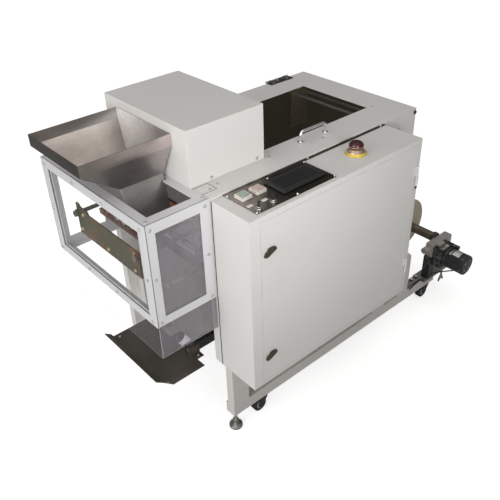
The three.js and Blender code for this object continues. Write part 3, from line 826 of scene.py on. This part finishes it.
def basis(normal):
    """Two directions square to a normal, and the normal."""
    n = Vector(normal).normalized()
    helper = Vector((0, 0, 1)) if abs(n.z) < 0.9 else Vector((1, 0, 0))
    u = helper.cross(n).normalized()
    return u, n.cross(u), n


def turned(bm, centre, normal, outline, sides=20):
    """A solid of revolution: outline pairs are radius and height along the normal, in millimetres."""
    u, v, n = basis(normal)
    rings = []
    for radius, height in outline:
        middle = centre + n * height * MM
        if radius == 0:
            rings.append([bm.verts.new(middle)])
            continue
        corners = []
        for k in range(sides):
            angle = 2 * math.pi * k / sides
            offset = u * math.cos(angle) + v * math.sin(angle)
            corners.append(bm.verts.new(middle + offset * radius * MM))
        rings.append(corners)
    for lower, upper in zip(rings, rings[1:]):
        for k in range(sides):
            j = (k + 1) % sides
            if len(lower) == 1 and len(upper) == 1:
                continue
            if len(lower) == 1:
                bm.faces.new((lower[0], upper[j], upper[k]))
            elif len(upper) == 1:
                bm.faces.new((lower[k], lower[j], upper[0]))
            else:
                bm.faces.new((lower[k], lower[j], upper[j], upper[k]))


def ring(bm, centre, normal, inner, outer, height, sides=24, soften=0.4):
    """A washer or collar with softened outer edges, sizes in millimetres."""
    outline = [
        (inner, 0),
        (outer - soften, 0),
        (outer, soften),
        (outer, height - soften),
        (outer - soften, height),
        (inner, height),
        (inner, 0),
    ]
    turned(bm, centre, normal, outline, sides)


def slab(bm, xs, ys, zs, round_by=0.0, segments=3):
    """A box that fills three ranges in millimetres, with its edges rounded."""
    lo, hi = at(xs[0], ys[0], zs[0]), at(xs[1], ys[1], zs[1])
    size = hi - lo
    corners = bmesh.ops.create_cube(bm, size=1.0)["verts"]
    for v in corners:
        v.co = [lo[i] + (v.co[i] + 0.5) * size[i] for i in range(3)]
    if round_by:
        bmesh.ops.bevel(
            bm,
            geom=list({e for v in corners for e in v.link_edges}),
            offset=round_by * MM,
            segments=segments,
            affect="EDGES",
            profile=0.5,
        )


def screws(name, places, body, radius=4.2, material=ZINC):
    """Button-head screws, each at a point with the direction it faces."""
    bm = bmesh.new()
    outline = [(r * radius, h * radius) for r, h in SCREW_HEAD]
    for point, normal in places:
        turned(bm, point, normal, outline, 16)
    make(name, bm, material, body, smooth=True)


def guard_screws():
    """Down both edges of the strips, along the rails and on the top strips."""
    top, middle, bottom = 531, 390, 257
    strips = (-176, -16.5)
    places = [(at(GUARD_FRONT, y, z), FRONT) for y in (164, 331, 480, 635) for z in (top, bottom)]
    places += [(at(GUARD_FRONT, y, middle), FRONT) for y in (158, 641)]
    places += [(at(x, GUARD_NEAR, z), NEAR) for x in strips for z in (top, middle, bottom)]
    places += [(at(x, GUARD_FAR, z), FAR) for x in strips for z in (top, middle, bottom)]
    places += [(at(x, y, DECK_TOP), TOP) for x in (-175, -11) for y in (159, 640)]
    screws("guard_screws", places, "frame", 4.0)


def body_screws():
    """Fixings of the deck, hood and body sheets."""
    hood_ends = (60.5, 214)
    places = [(at(29, 179, DECK_TOP), TOP), (at(60, 187, DECK_TOP), TOP)]
    places += [(at(x, HOOD_SCREW_NEAR, HOOD_SCREW_HEIGHT), NEAR) for x in hood_ends]
    places += [(at(733, BODY_NEAR, 498), NEAR)]
    places += [(at(x, HOOD_SCREW_FAR, HOOD_SCREW_HEIGHT), FAR) for x in hood_ends]
    places += [(at(x, BODY_FAR, z), FAR) for x in (60, 400, 760) for z in (30, 480)]
    places += [(at(BODY_REAR, y, z), REAR) for y in (165, 608) for z in (30, 280, 520)]
    screws("body_screws", places, "frame", 4.0)


def lid_and_panel_screws():
    lid_points = ((399, 188), (445, 190), (719, 241), (255, 208))
    screws("lid_screws", [(at(x, y, DECK_TOP), TOP) for x, y in lid_points], "lid", 3.6)
    panel_points = ((173, 126), (329, 136), (305, 126), (306, 18), (172, 17), (40, 18), (633, 136), (40, 126))
    places = [(at(x, y, PANEL_TOP), TOP) for x, y in panel_points]
    screws("control_plate_screws", places, "frame", 3.4, CHROME)


def toggles():
    """A round nut and a bush for each toggle switch, with a blank tag beside it."""
    bm = bmesh.new()
    for x, y in ((56, 28.5), (102.5, 29.5)):
        ring(bm, at(x, y, PANEL_TOP + 0.1), TOP, 5.2, 9.2, 4.4, 24, 0.5)
        ring(bm, at(x, y, PANEL_TOP + 4.5), TOP, 4.7, 6.0, 3.7, 20, 0.4)
    make("toggle_nuts", bm, ZINC, "frame", smooth=True)
    bm = bmesh.new()
    for x, y in ((49.7, 53.1), (94.4, 50.4)):
        slab(bm, (x - 8, x + 8), (y - 5, y + 5), (PANEL_TOP, PANEL_TOP + 1.0), 0.4, 2)
    make("toggle_tags", bm, IVORY, "frame")


def emergency_stop():
    """The bright ring in the collar, and two rings that go down with the head."""
    bm = bmesh.new()
    turned(bm, at(ESTOP_X, ESTOP_Y, 545.6), TOP, ESTOP_COLLAR, 40)
    make("estop_collar_ring", bm, PINK_RING, "frame", smooth=True)
    bm = bmesh.new()
    ring(bm, at(ESTOP_X, ESTOP_Y, 561.3), TOP, 18.0, 20.7, 2.4, 40, 0.9)
    make("estop_head_skirt", bm, PINK_RING, "estop_head", smooth=True)
    bm = bmesh.new()
    turned(bm, at(ESTOP_X, ESTOP_Y, 573.0), TOP, ESTOP_CROWN, 36)
    make("estop_head_ring", bm, BLACK_PLASTIC, "estop_head", smooth=True)


def deck_joint_shadow():
    """Dark strips painted as the shadow in the joint round the deck's loose corner plate."""
    near, far, end, height = 169, 207, 43, (546.2, 546.5)
    bm = bmesh.new()
    slab(bm, (-5, end), (near - 0.7, near + 0.7), height)
    slab(bm, (-5, end), (far - 0.7, far + 0.7), height)
    slab(bm, (end - 0.7, end + 0.7), (near, far), height)
    make("deck_joint_shadow", bm, GAP, "frame")


def cabinet_details():
    """A dark strip on the cabinet's end, painted as the shadow in the gap where it meets the body, and a
    black screw near the door's hinge side.
    """
    bm = bmesh.new()
    slab(bm, (-0.5, 0.2), (137.2, 140.5), (1, 539))
    make("cabinet_gap_shadow", bm, GAP, "frame")
    screws("cabinet_hinge_screw", [(at(646, 0, 386), NEAR)], "frame", 5.0, BLACK_STEEL)


def lid_hinge_knuckles():
    """Three bright rings along each lid hinge: the knuckles' bright metal, partly a painted highlight on
    them.
    """
    bm = bmesh.new()
    axis = at(0, 633, 549.5)
    for name in ("lid_hinge_left", "lid_hinge_right"):
        lo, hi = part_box(name)
        middle = (lo.x + hi.x) / 2
        for start in (lo.x + 0.001, middle - 0.004, hi.x - 0.009):
            ring(bm, Vector((start, axis.y, axis.z)), REAR, 2.95, 3.7, 8.0, 20, 0.2)
    make("lid_hinge_knuckles", bm, LABEL, "frame", smooth=True)


def body_bumper():
    """The rubber stop on the body's near side."""
    bm = bmesh.new()
    turned(bm, at(805, BODY_NEAR, 533), NEAR, BUMPER, 20)
    make("body_bumper", bm, RUBBER, "frame", smooth=True)


def guard_joint_shadows():
    """Dark strips painted as the shadow in the narrow gaps between the guard's strips: down both front
    corners and round the top.
    """
    corner, upright, top = (-188.5, -186.9), (246, DECK_TOP), (546.0, 546.5)
    bm = bmesh.new()
    slab(bm, corner, (142.8, 143.4), upright)
    slab(bm, corner, (655.6, 656.2), upright)
    slab(bm, (-188.4, -187.2), (143.4, 655.6), top)
    slab(bm, (-186.8, -1), (145.6, 146.9), top)
    slab(bm, (-186.8, -1), (652.1, 653.4), top)
    make("guard_joint_shadows", bm, GAP, "frame")


def bag_plate_wing():
    """The near side of the plate behind the bags, cut off at a slant below."""
    outline = ((289.6, -6), (289.6, 261), (170, 261), (170, 116))
    bm = bmesh.new()
    front = [bm.verts.new(at(4.2, y, z)) for y, z in outline]
    rear = [bm.verts.new(at(6.6, y, z)) for y, z in outline]
    bm.faces.new(front)
    bm.faces.new(rear[::-1])
    for i in range(4):
        k = (i + 1) % 4
        bm.faces.new((front[k], front[i], rear[i], rear[k]))
    bmesh.ops.recalc_face_normals(bm, faces=bm.faces)
    # Dark with the same painted shade as the plate behind the bags.
    make("bag_plate_wing", bm, BAG_PLATE_SHADED, "frame")


def seal_bar_fixings():
    """Bolts with washers on the bar's face, and nuts on the rods that carry it."""
    washers = bmesh.new()
    bolts = bmesh.new()
    for y, z in ((541, 350), (268, 346), (262, 399), (400, 348), (520, 404)):
        ring(washers, at(SEAL_BAR_FRONT, y, z), FRONT, 0.5, 5.6, 1.0, 20, 0.3)
        turned(bolts, at(SEAL_BAR_FRONT - 1, y, z), FRONT, SEAL_BOLT, 6)
    make("seal_bar_washers", washers, PLATED, "seal_jaw", smooth=True)
    make("seal_bar_bolts", bolts, PLATED, "seal_jaw")
    nuts = bmesh.new()
    for y in (552, 248):
        ring(nuts, at(SEAL_BAR_FRONT - 6.5, y, 398), FRONT, 3.0, 9.0, 5.0, 24, 0.6)
    make("jaw_rod_nuts", nuts, BLACK_STEEL, "seal_jaw", smooth=True)


def heater_fixings():
    """Milky fittings and hexagon screws along the top of the heater bar."""
    bm = bmesh.new()
    for y in (407, 440):
        slab(bm, (HEATER_X - 6, HEATER_X + 6), (y - 7, y + 7), (HEATER_TOP - 0.1, HEATER_TOP + 6), 2.0, 3)
        turned(bm, at(HEATER_X, y, HEATER_TOP + 5.5), TOP, FITTING, 18)
    make("heater_fittings", bm, MILKY, "frame", smooth=True)
    bm = bmesh.new()
    for y in (320, 372, 424, 462, 498):
        turned(bm, at(HEATER_X, y, HEATER_TOP), TOP, HEATER_SCREW, 6)
    make("heater_screws", bm, ZINC, "frame")


def bag_guide_knob():
    """A rod with a round knob on its end, below the jaws."""
    bm = bmesh.new()
    turned(bm, at(4.2, BAG_ROD_Y, BAG_ROD_Z), FRONT, BAG_ROD, 16)
    turned(bm, at(-86, BAG_ROD_Y, BAG_ROD_Z), FRONT, KNOB, 24)
    make("bag_guide_knob", bm, IVORY, "frame", smooth=True)


def shelf_bolts():
    points = ((-127, 243), (-122, 517), (10, 276), (10, 328))
    screws("shelf_bolts", [(at(x, y, SHELF_TOP), TOP) for x, y in points], "shelf", 4.6)


def wrapped_label(name, ys, start, stop, material):
    """A thin blank label round the motor, between two angles in degrees from +X."""
    bm = bmesh.new()
    steps, thick = 14, 0.5
    rows = []
    for k in range(steps + 1):
        angle = math.radians(start + (stop - start) * k / steps)
        row = []
        for r in (MOTOR_RADIUS, MOTOR_RADIUS + thick):
            x, z = MOTOR_X + r * math.cos(angle), MOTOR_Z + r * math.sin(angle)
            row += [bm.verts.new(at(x, y, z)) for y in ys]
        rows.append(row)
    for p, q in zip(rows, rows[1:]):
        for i, j in ((0, 1), (1, 3), (3, 2), (2, 0)):
            bm.faces.new((p[i], p[j], q[j], q[i]))
    first, last = rows[0], rows[-1]
    bm.faces.new((first[0], first[2], first[3], first[1]))
    bm.faces.new((last[0], last[1], last[3], last[2]))
    bmesh.ops.recalc_face_normals(bm, faces=bm.faces)
    make(name, bm, material, "frame")


def motor_details():
    """Blank labels, end rings and tie screws of the motor, and blank plates on its gearhead."""
    wrapped_label("motor_label", (28, 56), 78, 122, LABEL)
    wrapped_label("motor_label_strip", (60, 66), 72, 128, ZINC)
    bm = bmesh.new()
    ring(bm, at(MOTOR_X, 9, MOTOR_Z), FAR, 38.2, 39.3, 2.4, 48, 0.3)
    ring(bm, at(MOTOR_X, 76, MOTOR_Z), FAR, 38.2, 39.6, 5.0, 48, 0.5)
    make("motor_rings", bm, BLACK_STEEL, "frame", smooth=True)
    reach = 22 * 0.7
    corners = [(dx, dz) for dx in (-reach, reach) for dz in (-reach, reach)]
    places = [(at(MOTOR_X + dx, 0, MOTOR_Z + dz), NEAR) for dx, dz in corners]
    screws("motor_end_screws", places, "frame", 3.2)
    bm = bmesh.new()
    slab(bm, (1018, 1066), (89, 107), (GEARHEAD_TOP - 0.8, GEARHEAD_TOP), 0.3, 2)
    make("gearhead_label", bm, OLIVE_LABEL, "frame")
    bm = bmesh.new()
    field = (GEARHEAD_TOP - 0.1, GEARHEAD_TOP + 0.4)
    slab(bm, (1022, 1044), (91.5, 95), field, 0.2, 2)
    slab(bm, (1048, 1062), (91.5, 104), field, 0.2, 2)
    make("gearhead_label_fields", bm, LABEL, "frame")


def unwind_fixings():
    """Screws of the bearing housing and of the bracket, and caps on the clamp bolts."""
    places = [(at(x, y, UNWIND_HOUSING_TOP), TOP) for x in (1016, 1119) for y in (134, 150)]
    places += [(at(x, 126, -60), NEAR) for x in (1095, 1119)]
    places += [(at(x, 154, UNWIND_BRACKET_TOP), TOP) for x in (1052, 1085, 1140)]
    screws("unwind_screws", places, "frame", 4.4)
    bm = bmesh.new()
    for x in (920, 948, 976):
        turned(bm, at(x, 162, -194), TOP, BOLT_CAP, 16)
    make("clamp_bolt_caps", bm, CHROME, "frame", smooth=True)


def caster_hub(name):
    """A pressed hub on both sides of a caster's wheel."""
    half_width = 9.9
    lo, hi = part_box(f"{name}_wheel")
    bm = bmesh.new()
    for face in (NEAR, FAR):
        turned(bm, (lo + hi) / 2 + Vector(face) * half_width * MM, face, CASTER_HUB, 28)
    make(f"{name}_hub", bm, GREY_PLATE, f"{name}_wheel_b", smooth=True)


def latch_collar(name, height):
    """The ring in the door behind a latch's wing."""
    bm = bmesh.new()
    ring(bm, at(60, 0, height), NEAR, 8.2, 11.4, 1.6, 28, 0.4)
    make(f"latch_{name}_collar", bm, ZINC, "door", smooth=True)


guard_screws()
body_screws()
lid_and_panel_screws()
toggles()
emergency_stop()
deck_joint_shadow()
cabinet_details()
lid_hinge_knuckles()
body_bumper()
guard_joint_shadows()
bag_plate_wing()
seal_bar_fixings()
heater_fixings()
bag_guide_knob()
shelf_bolts()
motor_details()
unwind_fixings()
for caster in CASTERS:
    caster_hub(caster)
latch_collar("upper", 433)
latch_collar("lower", 96)


# ---- staging ----
def light(name, energy, size, where, aim, spread=180):
    """A rectangular soft light, in watts and metres, turned towards a point."""
    lamp = bpy.data.lights.new(name, "AREA")
    lamp.spread = math.radians(spread)
    lamp.energy = energy
    lamp.shape = "RECTANGLE"
    lamp.size, lamp.size_y = size
    o = bpy.data.objects.new(name, lamp)
    scene.collection.objects.link(o)
    o.location = where
    o.rotation_euler = (Vector(aim) - Vector(where)).to_track_quat("-Z", "Y").to_euler()


def studio_walls():
    """Walls that are bright over the tray end and dull behind the film roll."""
    brightest_towards = (-0.42, -0.22, 0.60)
    world = bpy.data.worlds.new("studio")
    world.use_nodes = True
    tree = world.node_tree
    direction = tree.nodes.new("ShaderNodeTexCoord")
    toward = tree.nodes.new("ShaderNodeVectorMath")
    toward.operation = "DOT_PRODUCT"
    toward.inputs[1].default_value = brightest_towards
    tree.links.new(direction.outputs["Generated"], toward.inputs[0])
    walls = ramp(tree, toward.outputs["Value"], (0.16, 0.155, 0.15), (1.0, 0.985, 0.965), 0.0, 0.75)
    tree.links.new(walls, tree.nodes["Background"].inputs["Color"])
    tree.nodes["Background"].inputs["Strength"].default_value = 0.95
    scene.world = world


def paper_floor():
    """A paper sweep, lit apart from the machine, so it looks white without throwing that light up."""
    width, glow, clearance = 9.0, 0.7, 0.0002
    bm = bmesh.new()
    bmesh.ops.create_grid(bm, x_segments=1, y_segments=1, size=width)
    mesh = bpy.data.meshes.new("floor")
    bm.to_mesh(mesh)
    bm.free()
    paper = finish(
        "floor", (0.56, 0.56, 0.56), rough=(0.8, 0.9), vary=0.01, blotch=0.5, grain=20.0, grain_bump=0.0
    )
    tree = paper.node_tree
    shader = tree.nodes["Principled BSDF"]
    shader.inputs["Specular IOR Level"].default_value = 0.1
    shader.inputs["Emission Color"].default_value = (1, 1, 1, 1)
    seen = tree.nodes.new("ShaderNodeLightPath")
    lit = tree.nodes.new("ShaderNodeMath")
    lit.operation = "MULTIPLY"
    lit.inputs[1].default_value = glow
    tree.links.new(seen.outputs["Is Camera Ray"], lit.inputs[0])
    tree.links.new(lit.outputs[0], shader.inputs["Emission Strength"])
    mesh.materials.append(paper)
    floor = bpy.data.objects.new("floor", mesh)
    floor.location = (0.0, 0.0, cad_lo.z - clearance)
    scene.collection.objects.link(floor)


MACHINE_MIDDLE, HOOD_FRONT = (0.0, 0.0, 0.5), (-0.34, -0.11, 1.02)
light("overhead", 13.0, (3.0, 3.0), (-0.5, -0.3, 3.4), MACHINE_MIDDLE)
light("front_left", 66.0, (2.6, 2.2), (-3.6, -0.5, 1.5), MACHINE_MIDDLE)
light("hood_wash", 3.3, (0.8, 0.6), (-1.0, -1.95, 1.2), HOOD_FRONT, spread=56)
studio_walls()
paper_floor()
scene.view_settings.view_transform = "Standard"
scene.view_settings.exposure = 0.0

bpy.context.view_layer.update()
